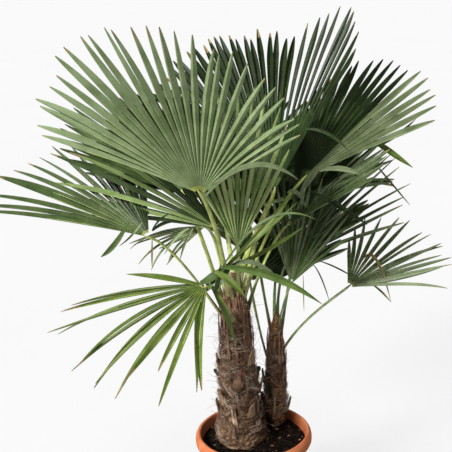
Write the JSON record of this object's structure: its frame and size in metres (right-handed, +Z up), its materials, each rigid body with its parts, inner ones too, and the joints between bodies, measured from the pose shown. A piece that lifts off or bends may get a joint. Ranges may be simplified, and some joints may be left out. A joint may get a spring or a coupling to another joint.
{
  "type": "potted windmill palm",
  "caption": "Young fan palm with two fibre-clad stems of unequal height, each crowned with stalked pleated fan leaves, standing in a round clay pot with a rolled collar.",
  "frame": {"origin": "centre of the pot's flat underside, at the level of the ground it stands on", "axes": "+Z up, +X to the right of the front view, +Y away from the viewer"},
  "size_m": [1.141, 1.0754, 1.3147],
  "materials": {
    "terracotta": "matt fired clay",
    "compost": "moist dark compost with a few wood chips",
    "bark": "loose brown leaf-sheath fibre and old leaf bases",
    "stalk": "smooth yellow-green leaf stalk",
    "leaf_tall": "satin pleated leaf",
    "leaf_short": "satin pleated leaf"
  },
  "bodies": {
    "root": {"pot": "terracotta", "soil": "compost", "tall_stem": "bark", "short_stem": "bark", "tall_stalk_01": "stalk", "tall_stalk_02": "stalk", "tall_stalk_03": "stalk", "tall_stalk_04": "stalk", "tall_stalk_05": "stalk", "tall_stalk_06": "stalk", "tall_stalk_07": "stalk", "tall_stalk_08": "stalk", "tall_stalk_09": "stalk", "tall_stalk_10": "stalk", "tall_stalk_11": "stalk", "tall_stalk_12": "stalk", "short_stalk_01": "stalk", "short_stalk_02": "stalk", "short_stalk_03": "stalk", "short_stalk_04": "stalk", "short_stalk_05": "stalk", "short_stalk_06": "stalk", "short_stalk_07": "stalk", "tall_fan_01": "leaf_tall", "tall_fan_02": "leaf_tall", "tall_fan_03": "leaf_tall", "tall_fan_04": "leaf_tall", "tall_fan_05": "leaf_tall", "tall_fan_06": "leaf_tall", "tall_fan_07": "leaf_tall", "tall_fan_08": "leaf_tall", "tall_fan_09": "leaf_tall", "tall_fan_10": "leaf_tall", "tall_fan_11": "leaf_tall", "tall_fan_12": "leaf_tall", "short_fan_01": "leaf_short", "short_fan_02": "leaf_short", "short_fan_03": "leaf_short", "short_fan_04": "leaf_short", "short_fan_05": "leaf_short", "short_fan_06": "leaf_short", "short_fan_07": "leaf_short"}
  },
  "joints": []
}
